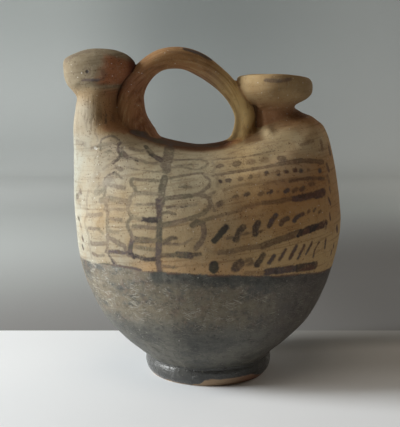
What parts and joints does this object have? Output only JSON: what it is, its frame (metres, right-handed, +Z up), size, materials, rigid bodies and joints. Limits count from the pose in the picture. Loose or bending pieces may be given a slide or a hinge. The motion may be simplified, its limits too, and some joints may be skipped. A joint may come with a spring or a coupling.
{
  "type": "askos",
  "caption": "Bird-headed fired clay pouring vessel: hollow egg-shaped body on a disc foot, arched back handle, cup-shaped filling mouth at the tail.",
  "frame": {"origin": "centre of the flat underside of the disc foot, on the surface that the vessel stands on", "axes": "+Z up, +X from the head towards the tail and the filling cup, the painted side that the picture shows faces -Y"},
  "size_m": [0.1645, 0.116, 0.1944],
  "materials": {
    "fired_clay": "matte buff clay, dark slip on the lower body"
  },
  "bodies": {
    "root": {"askos": "fired_clay"}
  },
  "joints": []
}
